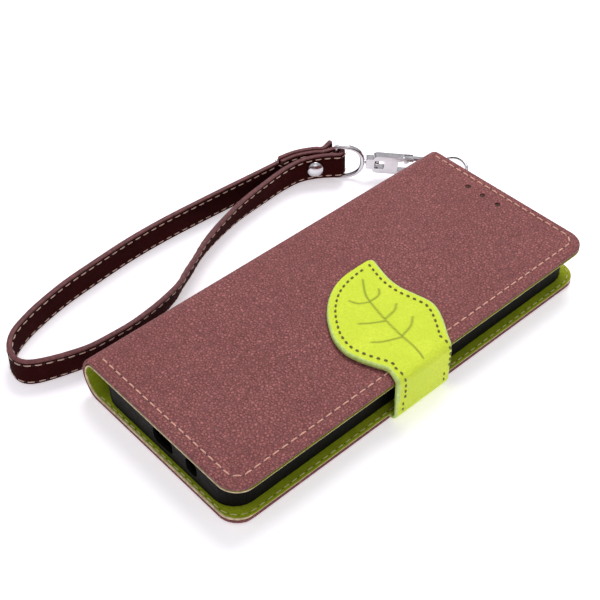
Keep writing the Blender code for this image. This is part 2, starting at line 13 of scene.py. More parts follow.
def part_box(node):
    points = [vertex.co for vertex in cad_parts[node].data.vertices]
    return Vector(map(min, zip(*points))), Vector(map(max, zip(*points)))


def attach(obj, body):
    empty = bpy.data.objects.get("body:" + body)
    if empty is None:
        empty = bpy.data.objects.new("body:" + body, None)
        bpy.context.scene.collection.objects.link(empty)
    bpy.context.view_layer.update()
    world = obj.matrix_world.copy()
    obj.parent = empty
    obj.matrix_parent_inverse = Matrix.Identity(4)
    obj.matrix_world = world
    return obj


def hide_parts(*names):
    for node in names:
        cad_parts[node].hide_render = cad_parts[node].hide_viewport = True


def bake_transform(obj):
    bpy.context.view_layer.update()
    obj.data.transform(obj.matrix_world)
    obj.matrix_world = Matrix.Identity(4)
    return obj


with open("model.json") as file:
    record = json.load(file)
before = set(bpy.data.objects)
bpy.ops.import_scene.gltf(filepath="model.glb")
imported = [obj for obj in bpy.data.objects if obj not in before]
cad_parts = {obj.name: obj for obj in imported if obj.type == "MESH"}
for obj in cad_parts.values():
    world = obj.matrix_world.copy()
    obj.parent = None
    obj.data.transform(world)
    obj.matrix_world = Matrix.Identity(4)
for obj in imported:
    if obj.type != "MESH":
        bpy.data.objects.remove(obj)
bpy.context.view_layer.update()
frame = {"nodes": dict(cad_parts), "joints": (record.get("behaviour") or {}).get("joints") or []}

MM = 0.001
UP = Vector((0, 0, 1))

# Covers
HALF_LENGTH = 75.0
BACK_RIGHT = 35.0
COVER_RIGHT = 36.0
CORNER = 7.0
COVER_TOP = 17.0
BACK_TOP = 2.4
SPINE_CENTRE = (-26.8, 8.3)
SKIN_MID_RADIUS = 8.9
LINING_MID_RADIUS = 7.9
EARPIECE = ((-10.2, 68.0), (-3.6, 68.0), (3.0, 68.0))
CAMERA_CENTRE = (-14.0, 58.0)
CAMERA_SIZE = (22.0, 10.0)

# Flap and leaf
BAND_Y = (-15.0, 8.0)
LEAF_MID_Z = 18.1
LEAF_THICK = 1.9

# Strap and hardware
STRAP_WIDTH = 10.5
STRAP_THICK = 1.8
LAYER_PITCH = 2.1
RING_WIRE = 0.9
BAR = Vector((-60.0, 53.4, 0.0))
RING_HALF_HEIGHT = 6.7
RING_MIDDLE_Z = 7.6
RING_DEPTH = 9.2
CLASP_ANGLE = math.radians(48.3)
AXIS_FLAT = Vector((math.cos(CLASP_ANGLE), math.sin(CLASP_ANGLE), 0.0))
WRAP_RADIUS = 2.1
RING_SQUARENESS = 0.8         # under 1 fills out the D-ring's corners
LUG_WIRE = 0.65
RIVET_BEFORE_BAR = 9.0

# Camera: its angles in degrees, where the origin lies from its axis, and its lens, as fitted to
# the reference view of the covers' edges
CAMERA_ANGLES = (48.70, 43.91, -1.21)
CAMERA_ASIDE = 14.26
CAMERA_BELOW = 10.69
CAMERA_DEPTH = 379.63
CAMERA_LENS = 71.05

# Studio
STUDIO_WHITE = (0.97, 0.96, 1.0, 1.0)
DARK_CARD = (0.10, 0.10, 0.11, 1.0)
DARK_CARD_STOP = 0.12         # how high round the studio the card stands


# ---- Camera, light and floor -----------------------------------------------------------------

def add_camera():
    """Place the camera at the photograph's angle, looking at the case from the near right."""
    azimuth, elevation, roll = (math.radians(angle) for angle in CAMERA_ANGLES)
    level = math.cos(elevation)
    back = Vector((math.sin(azimuth) * level, -math.cos(azimuth) * level, math.sin(elevation)))
    right = Vector((math.cos(azimuth), math.sin(azimuth), 0))
    up = back.cross(right)
    right, up = (right * math.cos(roll) + up * math.sin(roll),
                 up * math.cos(roll) - right * math.sin(roll))
    camera = bpy.data.objects.new("camera", bpy.data.cameras.new("camera"))
    camera.data.lens = CAMERA_LENS
    camera.data.sensor_width = 36.0
    place = (back * CAMERA_DEPTH + up * CAMERA_BELOW - right * CAMERA_ASIDE) * MM
    camera.matrix_world = Matrix.Translation(place) @ Matrix((right, up, back)).transposed().to_4x4()
    bpy.context.collection.objects.link(camera)
    bpy.context.scene.camera = camera


def add_area(name, place, size, power, colour):
    """Add one soft area light aimed at the case."""
    light = bpy.data.lights.new(name, "AREA")
    light.shape = "DISK"
    light.size = size
    light.energy = power
    light.color = colour
    obj = bpy.data.objects.new(name, light)
    obj.location = place
    obj.rotation_euler = Vector(place).to_track_quat("Z", "Y").to_euler()
    bpy.context.collection.objects.link(obj)


def add_light_and_floor():
    """Add the studio light and a plain white floor."""
    world = bpy.data.worlds.new("studio")
    world.use_nodes = True
    tree = world.node_tree
    place = tree.nodes.new("ShaderNodeTexCoord").outputs["Generated"]
    height = tree.nodes.new("ShaderNodeSeparateXYZ")
    ramp = tree.nodes.new("ShaderNodeValToRGB")
    stops = ramp.color_ramp.elements
    stops.new(DARK_CARD_STOP)
    stops.new(0.50)
    for stop, position in zip(stops, (0.0, DARK_CARD_STOP, 0.50, 1.0)):
        stop.position = position
        stop.color = DARK_CARD if position == DARK_CARD_STOP else STUDIO_WHITE
    tree.links.new(place, height.inputs[0])
    tree.links.new(height.outputs["Z"], ramp.inputs["Fac"])
    tree.links.new(ramp.outputs["Color"], tree.nodes["Background"].inputs["Color"])
    tree.nodes["Background"].inputs["Strength"].default_value = 0.62
    bpy.context.scene.world = world
    bpy.context.scene.view_settings.view_transform = "Standard"
    add_area("key", (-0.25, 0.35, 0.75), 0.5, 4.7, (1.0, 0.98, 0.96))
    add_area("side", (0.55, -0.30, 0.45), 0.5, 0.5, (1.0, 0.98, 1.0))
    bm = bmesh.new()
    bmesh.ops.create_grid(bm, x_segments=1, y_segments=1, size=3.0)
    mesh = bpy.data.meshes.new("floor")
    bm.to_mesh(mesh)
    bm.free()
    floor = bpy.data.objects.new("floor", mesh)
    floor.location.z = -0.0002
    bpy.context.collection.objects.link(floor)
    white = Nodes("floor_white", 0.9)
    white.set("Base Color", (0.90, 0.88, 0.93, 1.0))
    white.set("Emission Color", (1.0, 0.98, 1.0, 1.0))
    white.set("Emission Strength", 0.42)
    mesh.materials.append(white.material)


# ---- Materials -------------------------------------------------------------------------------

class Nodes:
    """A short way to add linked shader nodes to a material."""

    def __init__(self, name, roughness, metallic=0.0):
        self.material = bpy.data.materials.new(name)
        self.material.use_nodes = True
        self.tree = self.material.node_tree
        self.shader = self.tree.nodes["Principled BSDF"]
        self.set("Roughness", roughness)
        self.set("Metallic", metallic)
        self.rest = self.add("ShaderNodeAttribute", {}, attribute_name="rest").outputs["Vector"]

    def add(self, kind, inputs, **settings):
        """Add a node, set its properties and fill its inputs with values or links."""
        node = self.tree.nodes.new(kind)
        for key, value in settings.items():
            setattr(node, key, value)
        for key, value in inputs.items():
            if isinstance(value, bpy.types.NodeSocket):
                self.tree.links.new(value, node.inputs[key])
            else:
                node.inputs[key].default_value = value
        return node

    def set(self, key, value):
        """Set or link one of the shader's own sockets."""
        if isinstance(value, bpy.types.NodeSocket):
            self.tree.links.new(value, self.shader.inputs[key])
        else:
            self.shader.inputs[key].default_value = value

    def noise(self, scale, detail=3.0, roughness=0.5):
        """Return a noise value between about 0.3 and 0.7."""
        inputs = {"Vector": self.rest, "Scale": scale, "Detail": detail, "Roughness": roughness}
        return self.add("ShaderNodeTexNoise", inputs).outputs["Fac"]

    def cells(self, scale, feature="DISTANCE_TO_EDGE"):
        """Return the distance in a cell pattern, warped a little so that no cell is regular."""
        warp = self.add("ShaderNodeTexNoise", {"Vector": self.rest, "Scale": scale * 0.7})
        shift = self.add("ShaderNodeVectorMath", {0: warp.outputs["Color"], 1: (0.5, 0.5, 0.5)},
                         operation="MULTIPLY")
        moved = self.add("ShaderNodeVectorMath", {0: self.rest, 1: shift.outputs[0]}, operation="ADD")
        inputs = {"Vector": moved.outputs[0], "Scale": scale}
        return self.add("ShaderNodeTexVoronoi", inputs, feature=feature).outputs["Distance"]

    def spread(self, value, low, high, out_low=0.0, out_high=1.0):
        """Return a value stretched from one range to another and clamped."""
        inputs = {"Value": value, "From Min": low, "From Max": high,
                  "To Min": out_low, "To Max": out_high}
        return self.add("ShaderNodeMapRange", inputs).outputs["Result"]

    def mix(self, factor, first, second):
        """Return a mix of two colours."""
        node = self.add("ShaderNodeMix", {0: factor}, data_type="RGBA")
        for socket, value in ((node.inputs[6], first), (node.inputs[7], second)):
            if isinstance(value, bpy.types.NodeSocket):
                self.tree.links.new(value, socket)
            else:
                socket.default_value = (*value, 1.0)
        return node.outputs[2]

    def bump(self, *layers):
        """Link bumps to the shader, one after another: each is (height, depth in millimetres)."""
        normal = None
        for height, depth in layers:
            inputs = {"Height": height, "Strength": 1.0, "Distance": depth * MM}
            if normal:
                inputs["Normal"] = normal
            normal = self.add("ShaderNodeBump", inputs).outputs["Normal"]
        self.set("Normal", normal)


def leather(name, dark, light, cell=1.0, depth=0.24, roughness=0.55, shine=0.3):
    """Return a grained leather: pebbles with darker valleys, and broad changes of tone."""
    made = Nodes(name, roughness)
    made.set("Specular IOR Level", shine)
    pebble = made.spread(made.cells(cell), 0.0, 0.30)
    fine = made.noise(1.1, 4.0, 0.7)
    broad = made.spread(made.noise(0.05, 4.0), 0.35, 0.65)
    tone = made.mix(broad, dark, light)
    shade = tuple(0.40 * value for value in dark)
    speck = made.mix(made.spread(fine, 0.36, 0.64), tuple(0.46 * value for value in dark), tone)
    made.set("Base Color", made.mix(made.spread(pebble, 0.0, 0.5), shade, speck))
    made.set("Roughness", made.spread(made.noise(0.4), 0.3, 0.7, roughness - 0.06, roughness + 0.08))
    made.bump((pebble, depth), (fine, depth * 0.5))
    return made.material


def smooth_leather(name, dark, light, roughness=0.42, shine=0.3):
    """Return a smooth coated leather with fine wrinkles, and painted shade that darkens the pressed
    vein grooves.
    """
    made = Nodes(name, roughness)
    made.set("Specular IOR Level", shine)
    vein_shade = made.add("ShaderNodeAttribute", {}, attribute_name="vein_shade").outputs["Fac"]
    broad = made.spread(made.noise(0.09, 4.0), 0.35, 0.65)
    fine = made.spread(made.cells(2.6), 0.0, 0.25)
    tone = made.mix(made.spread(made.noise(1.4, 4.0, 0.7), 0.3, 0.7),
                    tuple(0.9 * value for value in dark), made.mix(broad, dark, light))
    # Painted shade: the leaf's vein grooves darken to about a third of the dark tone.
    made.set("Base Color", made.mix(vein_shade, tone, tuple(0.36 * value for value in dark)))
    made.set("Roughness", made.spread(made.noise(0.8), 0.3, 0.7, roughness - 0.05, roughness + 0.1))
    made.bump((fine, 0.06), (made.noise(0.6, 3.0), 0.12))
    return made.material


def cut_edge(name, dark, light):
    """Return a painted or raw cut edge: fine layers with small flaws."""
    made = Nodes(name, 0.6)
    broad = made.spread(made.noise(0.9, 4.0), 0.35, 0.65)
    made.set("Base Color", made.mix(broad, dark, light))
    made.bump((made.noise(3.0, 4.0), 0.1))
    return made.material


def thread(name, dark, light):
    """Return a sewing thread with a twist that runs across it."""
    made = Nodes(name, 0.75)
    twist = made.spread(made.cells(5.0), 0.0, 0.3)
    made.set("Base Color", made.mix(twist, dark, light))
    made.set("Sheen Weight", 0.3)
    made.bump((twist, 0.08))
    return made.material


def metal(name, colour, roughness):
    """Return a plated metal with faint smears and small scratches."""
    made = Nodes(name, roughness, 1.0)
    smear = made.spread(made.noise(0.7, 4.0), 0.35, 0.7, roughness * 0.7, roughness * 1.7)
    made.set("Base Color", made.mix(made.spread(made.noise(0.3), 0.3, 0.7), colour,
                                    tuple(0.92 * value for value in colour)))
    made.set("Roughness", smear)
    made.bump((made.noise(0.8, 2.0), 0.03))
    return made.material


def board(name):
    """Return grey-brown bookbinding board with fibres."""
    made = Nodes(name, 0.92)
    fibre = made.spread(made.noise(1.6, 6.0, 0.7), 0.35, 0.65)
    made.set("Base Color", made.mix(fibre, (0.36, 0.31, 0.24), (0.50, 0.45, 0.37)))
    made.bump((fibre, 0.08))
    return made.material


BROWN = leather("brown_leather", (0.405, 0.128, 0.126), (0.460, 0.156, 0.152))
GREEN = smooth_leather("green_lining", (0.28, 0.34, 0.012), (0.46, 0.54, 0.022), 0.6, 0.1)
GREEN_EDGE = cut_edge("green_edge", (0.50, 0.38, 0.20), (0.78, 0.66, 0.42))
LIME = smooth_leather("lime_leather", (0.70, 0.86, 0.040), (0.80, 0.95, 0.060), 0.5)
LIME_EDGE = cut_edge("lime_edge", (0.46, 0.64, 0.14), (0.62, 0.78, 0.24))
DARK = smooth_leather("dark_leather", (0.026, 0.003, 0.003), (0.046, 0.006, 0.006), 0.75, 0.02)
DARK_EDGE = cut_edge("dark_edge", (0.075, 0.012, 0.014), (0.16, 0.034, 0.037))
BLACK = leather("black_plastic", (0.006, 0.005, 0.005), (0.010, 0.009, 0.009), 3.0, 0.03, 0.55, 0.08)
PEACH_THREAD = thread("peach_thread", (0.90, 0.38, 0.26), (1.0, 0.66, 0.52))
CREAM_THREAD = thread("cream_thread", (0.66, 0.40, 0.30), (0.98, 0.74, 0.60))
PALE_THREAD = thread("pale_thread", (0.72, 0.68, 0.26), (0.95, 0.92, 0.50))
OLIVE_THREAD = thread("olive_thread", (0.14, 0.13, 0.010), (0.26, 0.24, 0.020))
# The needle holes' near-black colour is painted shade inside the holes.
HOLE_SHADE = cut_edge("needle_hole_shade", (0.020, 0.006, 0.005), (0.040, 0.012, 0.010))
CHROME = metal("chrome", (0.60, 0.59, 0.61), 0.13)
STEEL = metal("steel", (0.42, 0.42, 0.43), 0.28)
BOARD = board("board")


# ---- Mesh tools ------------------------------------------------------------------------------

def keep_rest(obj):
    """Store each point's place at rest, in millimetres, for the materials to read."""
    mesh = obj.data
    layer = mesh.attributes.get("rest") or mesh.attributes.new("rest", "FLOAT_VECTOR", "POINT")
    values = [value / MM for vertex in mesh.vertices for value in vertex.co]
    layer.data.foreach_set("vector", values)


def make(name, bm, body, materials, angle=40.0):
    """Turn a mesh in millimetres into a smooth-shaded piece that rides on a body."""
    bmesh.ops.recalc_face_normals(bm, faces=bm.faces)
    bmesh.ops.scale(bm, verts=bm.verts, vec=(MM, MM, MM))
    mesh = bpy.data.meshes.new(name)
    bm.to_mesh(mesh)
    bm.free()
    mesh.shade_smooth()
    mesh.set_sharp_from_angle(angle=math.radians(angle))
    for item in materials:
        mesh.materials.append(item)
    obj = bpy.data.objects.new(name, mesh)
    bpy.context.collection.objects.link(obj)
    keep_rest(obj)
    if body:
        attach(obj, body)
    return obj


def skin_rings(bm, rings, edge=None, closed=False):
    """Join equal rings with faces; edge tells which columns take the second material."""
    rows = [[bm.verts.new(point) for point in ring] for ring in rings]
    count = len(rows[0])
    pairs = list(zip(rows, rows[1:]))
    if closed:
        pairs.append((rows[-1], rows[0]))
    else:
        bm.faces.new(rows[0]).material_index = 1 if edge else 0
        bm.faces.new(rows[-1]).material_index = 1 if edge else 0
    for low, high in pairs:
        for i in range(count):
            j = (i + 1) % count
            face = bm.faces.new((low[i], low[j], high[j], high[i]))
            face.material_index = 1 if edge and edge(i) else 0


def spline(points, step):
    """Return evenly placed points of a Catmull-Rom curve through the given ones."""
    vectors = [Vector(point) for point in points]
    vectors = [2 * vectors[0] - vectors[1]] + vectors + [2 * vectors[-1] - vectors[-2]]
    path = []
    for a, b, c, d in zip(vectors, vectors[1:], vectors[2:], vectors[3:]):
        count = max(1, round((Vector(c[:2]) - Vector(b[:2])).length / step))
        for i in range(count):
            t = i / count
            path.append(0.5 * (2 * b + (c - a) * t + (2 * a - 5 * b + 4 * c - d) * t ** 2
                               + (3 * b - a - 3 * c + d) * t ** 3))
    return path + [vectors[-2]]


def around(centre, radius, start, stop, steps):
    """Return points on an arc, both ends included, with angles in degrees."""
    angles = [math.radians(start + (stop - start) * i / steps) for i in range(steps + 1)]
    return [(centre[0] + radius * math.cos(a), centre[1] + radius * math.sin(a)) for a in angles]


def sheet(path, span, thick, columns=40, relief=None, round_ends=(True, True)):
    """Loft a sheet along a path in XZ. span gives its Y range, relief its height off the top.

    The first side edge, the second and the ends that round_ends names are rounded, and take the second
    material.
    """
    half = thick / 2
    turns = [math.radians(v) for v in (0, 30, 60, 90)]
    stations = [(point, 1.0) for point in path]
    if round_ends[0]:
        out = (path[0] - path[1]).normalized()
        cap = [(path[0] - out * half * (1 - math.sin(a)), math.cos(a)) for a in turns[2::-1]]
        cap[0] = (path[0], 0.3)
        stations = cap + [s for s in stations if (s[0] - path[0]).length > half]
    if round_ends[1]:
        out = (path[-1] - path[-2]).normalized()
        cap = [(path[-1] - out * half * (1 - math.sin(a)), math.cos(a)) for a in turns[:3]]
        cap[-1] = (path[-1], 0.3)
        stations = [s for s in stations if (s[0] - path[-1]).length > half] + cap
    rings = []
    for k, (point, share) in enumerate(stations):
        ahead = stations[min(k + 1, len(stations) - 1)][0] - stations[max(k - 1, 0)][0]
        normal = Vector((-ahead.y, ahead.x)).normalized()
        low, high = span(point)
        reach = half * share
        side = min(half, (high - low) / 4)
        ring = []
        for face, sign in ((1, 1), (-1, -1)):
            ys = [low + side + (high - low - 2 * side) * i / columns for i in range(columns + 1)]
            for y in (ys if sign > 0 else ys[::-1]):
                lift = relief(point, y) if relief and sign > 0 and share == 1.0 else 0.0
                ring.append((point + normal * (face * reach + lift), y))
            end = high if sign > 0 else low
            for degrees in (60, 20, -20, -60):
                a = math.radians(degrees)
                y = end - sign * side * (1 - math.cos(a))
                ring.append((point + normal * (face * reach * math.sin(a)), y))
        rings.append([Vector((p.x, y, p.y)) for p, y in ring])
    bm = bmesh.new()
    first = range(columns, columns + 5)
    second = range(2 * columns + 5, 2 * columns + 10)
    skin_rings(bm, rings, lambda i: i in first or i in second)
    return bm


def dice(points, step):
    """Return points every step along a line of given corners."""
    path = []
    for a, b in zip(points, points[1:]):
        a, b = Vector(a), Vector(b)
        count = max(1, math.ceil((b - a).length / step))
        path += [a.lerp(b, i / count) for i in range(count)]
    return path + [Vector(points[-1])]


def cut(obj, outline, low, high):
    """Cut a straight hole through a piece, and bake it into its mesh."""
    bm = bmesh.new()
    skin_rings(bm, [[Vector((x, y, z)) for x, y in outline] for z in (low, high)])
    bmesh.ops.recalc_face_normals(bm, faces=bm.faces)
    bmesh.ops.scale(bm, verts=bm.verts, vec=(MM, MM, MM))
    mesh = bpy.data.meshes.new("hole")
    bm.to_mesh(mesh)
    bm.free()
    cutter = bpy.data.objects.new("hole", mesh)
    bpy.context.collection.objects.link(cutter)
    modifier = obj.modifiers.new("hole", "BOOLEAN")
    modifier.object = cutter
    modifier.operation = "DIFFERENCE"
    modifier.solver = "EXACT"
    bpy.context.view_layer.update()
    done = bpy.data.meshes.new_from_object(obj.evaluated_get(bpy.context.evaluated_depsgraph_get()))
    obj.modifiers.remove(modifier)
    obj.data = done
    bpy.data.objects.remove(cutter)
    keep_rest(obj)


def stitch(bm, centre, along, up, length, width):
    """Add one stitch: a short plump thread whose ends dip into the leather."""
    across = up.cross(along).normalized()
    rings = []
    for place, size, lift in ((-0.5, 0.35, -0.35), (-0.36, 0.85, 0.1), (0.0, 1.0, 0.22),
                              (0.36, 0.85, 0.1), (0.5, 0.35, -0.35)):
        middle = centre + along * (place * length) + up * (lift * width)
        ring = []
        for u, v in around((0, 0), width / 2 * size, 0, 315, 7):
            ring.append(middle + across * u + up * v * 0.8)
        rings.append(ring)
    skin_rings(bm, rings)


def needle_hole_shade(bm, centre, up, radius):
    """Add the small pit that the thread goes down, as a disc just proud of the leather, coloured dark
    as painted shade inside the hole.
    """
    side = up.orthogonal().normalized()
    other = up.cross(side)
    before = len(bm.faces)
    ring = around((0, 0), radius, 0, 300, 5)
    skin_rings(bm, [[centre + up * lift + side * u + other * v for u, v in ring]
                    for lift in (-0.05, 0.03)])
    bm.faces.ensure_lookup_table()
    for face in bm.faces[before:]:
        face.material_index = 1


def seam(name, body, colour, lines, pitch, length, width, pits=True):
    """Make a seam of separate stitches along some lines, with needle holes of painted shade between
    them if asked.

    A line is a list of (point, up) pairs.
    """
    bm = bmesh.new()
    for line in lines:
        run = 0.0
        due = pitch / 2
        for (a, up), (b, _) in zip(line, line[1:]):
            step = (b - a).length
            while step > 0 and run + step >= due:
                middle, along = a.lerp(b, (due - run) / step), (b - a).normalized()
                stitch(bm, middle, along, up, length, width)
                if pits:
                    needle_hole_shade(bm, middle + along * pitch / 2, up, width * 0.5)
                due += pitch
            run += step
    return make(name, bm, body, [colour, HOLE_SHADE], 60)


# ---- Case ------------------------------------------------------------------------------------

def cover_span(right):
    """Return a function that gives a cover's Y range, narrowed by its round corners."""
    def span(point):
        inside = min(CORNER, max(0.0, right - point.x))
        rounding = CORNER - math.sqrt(CORNER ** 2 - (CORNER - inside) ** 2)
        reach = HALF_LENGTH - rounding
        return -reach, reach
    return span


def cover_path(right, z, bend):
    """Return a cover's path: fine steps at the free edge, coarse ones across, then the bend."""
    edge = [Vector((right - CORNER * (1 - math.cos(math.radians(a))), z)) for a in range(0, 90, 6)]
    flat_part = dice([(right - CORNER, z), (bend[0][0] + 3, z)], 6.0)
    curve = spline([(bend[0][0] + 3, z)] + list(bend), 0.5)
    return edge + flat_part[:-1] + curve


def camera_window():
    """Return the outline of the window in the back for the phone's camera."""
    (x, y), (width, height) = CAMERA_CENTRE, CAMERA_SIZE
    radius = height / 2 - 0.5
    half_x, half_y = width / 2 - radius, height / 2 - radius
    outline = around((x + half_x, y + half_y), radius, 0, 90, 8)
    outline += around((x - half_x, y + half_y), radius, 90, 180, 8)
    outline += around((x - half_x, y - half_y), radius, 180, 270, 8)
    return outline + around((x + half_x, y - half_y), radius, 270, 360, 8)


def case_layer(name, right, z, thick, bend, nodes, materials):
    """Make one bent layer of the case, with its holes cut, in place of the given nodes."""
    path = cover_path(right, z, bend)
    bm = sheet(path, cover_span(right), thick, 60, None, (True, False))
    obj = make(name, bm, None, materials)
    if z > COVER_TOP / 2:
        for place in EARPIECE:
            cut(obj, around(place, 1.0, 0, 345, 23), 14.0, 18.0)
    else:
        cut(obj, camera_window(), -1.0, 4.0)
    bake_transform(obj)
    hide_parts(*nodes)


def case_leather():
    """Make the brown outside and the green inside of the case."""
    low_skin = [(-29.0, 0.65), (-31.2, 0.72), (-33.1, 1.6)]
    low_skin += around(SPINE_CENTRE, SKIN_MID_RADIUS, 212, 180, 6)
    high_skin = [(-29.2, 16.35), (-31.4, 16.1), (-33.0, 15.0)]
    high_skin += around(SPINE_CENTRE, SKIN_MID_RADIUS, 145, 180, 6)
    low_lining = [(-29.5, 1.95), (-31.3, 2.3), (-32.7, 3.4)]
    low_lining += around(SPINE_CENTRE, LINING_MID_RADIUS, 205, 180, 5)
    high_lining = [(-29.5, 15.15), (-31.0, 14.9), (-32.3, 14.0)]
    high_lining += around(SPINE_CENTRE, LINING_MID_RADIUS, 150, 180, 5)
    brown, green = [BROWN, BROWN], [GREEN, GREEN_EDGE]
    case_layer("back_leather", BACK_RIGHT, 0.65, 1.2, low_skin,
               ("back_skin", "spine_skin"), brown)
    case_layer("cover_leather", COVER_RIGHT, 16.3, 1.4, high_skin,
               ("cover_skin",), brown)
    case_layer("back_green", BACK_RIGHT, 1.95, 0.9, low_lining,
               ("back_lining", "spine_lining"), green)
    case_layer("cover_green", COVER_RIGHT, 15.15, 0.55, high_lining,
               ("cover_lining",), green)


def border(right, inset, z, up, head_inset=None, start=-29.6):
    """Return a seam line round three sides of a cover: short, long and short edge."""
    x, y, radius = right - inset, HALF_LENGTH - inset, CORNER - inset + 1.2
    head = HALF_LENGTH - (head_inset or inset)
    points = [(start, -y)] + around((x - radius, -y + radius), radius, -90, 0, 12)
    points += around((x - radius, head - radius), radius, 0, 90, 12) + [(start, head)]
    return [(Vector((p[0], p[1], z)), up) for p in dice(points, 0.5)]


def case_seams():
    """Sew the front cover and the linings."""
    seam("cover_stitches", "front_cover", PEACH_THREAD,
         [border(COVER_RIGHT, 3.8, COVER_TOP, UP, 2.6)], 3.3, 2.6, 0.55)
    seam("lining_stitches", "back", PALE_THREAD,
         [border(BACK_RIGHT, 0.95, BACK_TOP, UP)], 3.0, 2.1, 0.32)
    seam("cover_lining_stitches", "front_cover", PALE_THREAD,
         [border(COVER_RIGHT, 2.2, 14.88, -UP)], 3.5, 2.4, 0.4)


def pocket_seams():
    """Sew the card pockets round three sides and the cash pocket along one side, on the side that
    shows when the case is open.
    """
    lines = []
    for name in ("cash_pocket", "card_pocket_1", "card_pocket_2", "card_pocket_3"):
        low, high = (Vector(corner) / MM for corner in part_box(name))
        corners = [(low.x + 1.2, high.y - 1), (low.x + 1.2, low.y + 1.2),
                   (high.x - 1.2, low.y + 1.2), (high.x - 1.2, high.y - 1)]
        if name == "cash_pocket":
            corners = [(low.x + 0.8, high.y - 1), (low.x + 0.8, low.y + 90)]
        lines.append([(Vector((*p, low.z - 0.02)), -UP) for p in dice(corners, 0.5)])
    seam("pocket_stitches", "front_cover", PALE_THREAD, lines, 3.2, 2.2, 0.32)


# ---- Flap and leaf ---------------------------------------------------------------------------

# The leaf's outline and its veins follow places measured on the reference view.
LEAF_UPPER = ((37.9, 7.9), (35.1, 9.1), (30.2, 12.5), (25.6, 15.1), (21.4, 16.2), (16.3, 15.3),
              (10.9, 14.1), (5.2, 14.2), (-1.2, 15.8), (-4.2, 16.5), (-5.6, 14.6))
LEAF_LOWER = ((37.9, -14.9), (35.1, -14.6), (32.1, -14.0), (28.4, -15.6), (23.7, -17.4),
              (18.7, -18.3), (12.6, -17.0), (6.5, -13.5), (1.9, -9.6), (-2.0, -4.6),
              (-4.3, 0.7), (-5.5, 7.5), (-5.6, 12.0))
LEAF_TURN = spline(((37.05, 9.2), (37.05, 14.6), (37.0, 16.3), (36.4, 17.5),
                    (35.0, LEAF_MID_Z), (33.0, LEAF_MID_Z)), 0.4)
RIM_INSET = 2.7
TIP_SKIP = (6, 1)             # points left out of each seam at the tip, upper and lower
VEIN_DEPTH = 0.45
VEIN_WIDTH = 0.36


def height_at(line, x):
    """Return Y on a line of points whose X falls, at a given X."""
    for a, b in zip(line, line[1:]):
        if b.x <= x <= a.x and a.x > b.x:
            return a.y + (b.y - a.y) * (a.x - x) / (a.x - b.x)
    return line[0].y if x > line[0].x else line[-1].y


def veins():
    """Return the leaf's veins: a long midrib, and three side veins on each side of it."""
    branches = (((0.3, 7.3), (5.3, 3.5), (9.4, 1.9), (16.6, 0.1), (25.2, -1.3), (31.0, -1.8),
                 (36.0, -3.0)),
                ((6.7, 8.0), (8.4, 6.5), (8.9, 4.4), (8.8, 2.2)),
                ((4.3, -2.4), (7.0, -1.2), (8.9, 1.8)),
                ((15.0, 7.2), (16.7, 4.7), (17.3, 0.2)),
                ((13.4, -7.2), (15.9, -4.0), (18.1, -0.2)),
                ((22.3, 6.9), (24.6, 3.7), (25.8, -1.2)),
                ((21.5, -9.8), (23.7, -7.0), (26.2, -1.5)))
    return [spline(branch, 1.0) for branch in branches]


def nearest(point, lines):
    """Return the distance from a point to the nearest of some lines."""
    best = 99.0
    for line in lines:
        for a, b in zip(line, line[1:]):
            along = b - a
            t = max(0.0, min(1.0, (point - a).dot(along) / along.length_squared))
            best = min(best, (point - a - along * t).length)
    return best


def leaf_relief():
    """Return the leaf's relief: pressed veins and a soft crown between them."""
    lines = veins()

    def relief(point, y):
        if point.x > 36.5 or point.y < LEAF_MID_Z - 0.5:
            return 0.0
        away = nearest(Vector((point.x, y)), lines)
        return -VEIN_DEPTH * math.exp(-(away / VEIN_WIDTH) ** 2) + 0.12 * min(1.0, away / 2.5)
    return relief


def band_span(point):
    """Return the band's Y range, the same all along."""
    return BAND_Y[0], BAND_Y[1]


def leaf_span():
    """Return the Y range of the band's upper half and the leaf."""
    upper = spline(LEAF_UPPER, 0.7)
    lower = spline(LEAF_LOWER, 0.7)

    def span(point):
        if point.y < LEAF_MID_Z - 1.0:
            return BAND_Y[0], BAND_Y[1]
        return height_at(lower, point.x), height_at(upper, point.x)
    return span


def mark_vein_shade(obj):
    """Mark how near each point of the leaf's top lies to a vein groove, for painted shade to darken
    the leather there.
    """
    lines = veins()
    layer = obj.data.attributes.new("vein_shade", "FLOAT", "POINT")
    for vertex, item in zip(obj.data.vertices, layer.data):
        x, y, z = vertex.co / MM
        on_top = z > LEAF_MID_Z and x < 36.5
        away = nearest(Vector((x, y)), lines) if on_top else 9.0
        item.value = math.exp(-(away / (VEIN_WIDTH * 0.9)) ** 2)


def closing_flap():
    """Make the flap: a band out of the back cover's edge, and the leaf that it ends in."""
    root = spline(((33.5, 1.42), (35.2, 1.42), (36.4, 1.9), (37.0, 3.2), (37.05, 5.0),
                   (37.05, 9.2)), 0.4)
    band = make("flap_root", sheet(root, band_span, 1.3, 24, None, (False, False)), None,
                [LIME, LIME_EDGE])
    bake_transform(band)
    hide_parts("flap_band")
    path = LEAF_TURN + dice([LEAF_TURN[-1], (-5.0, LEAF_MID_Z)], 0.45)[1:]
    path.append(Vector((-5.6, LEAF_MID_Z)))
    bm = sheet(path, leaf_span(), LEAF_THICK, 64, leaf_relief(), (False, True))
    obj = make("leaf_leather", bm, None, [LIME, LIME_EDGE])
    mark_vein_shade(obj)
    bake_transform(obj)
    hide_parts("leaf_outer", "leaf_backing", "leaf_magnet")


def inset_line(points, inset):
    """Return a line moved to its right by an inset."""
    line = []
    for i, point in enumerate(points):
        ahead = points[min(i + 1, len(points) - 1)] - points[max(i - 1, 0)]
        line.append(point + Vector((ahead.y, -ahead.x)).normalized() * inset)
    return line


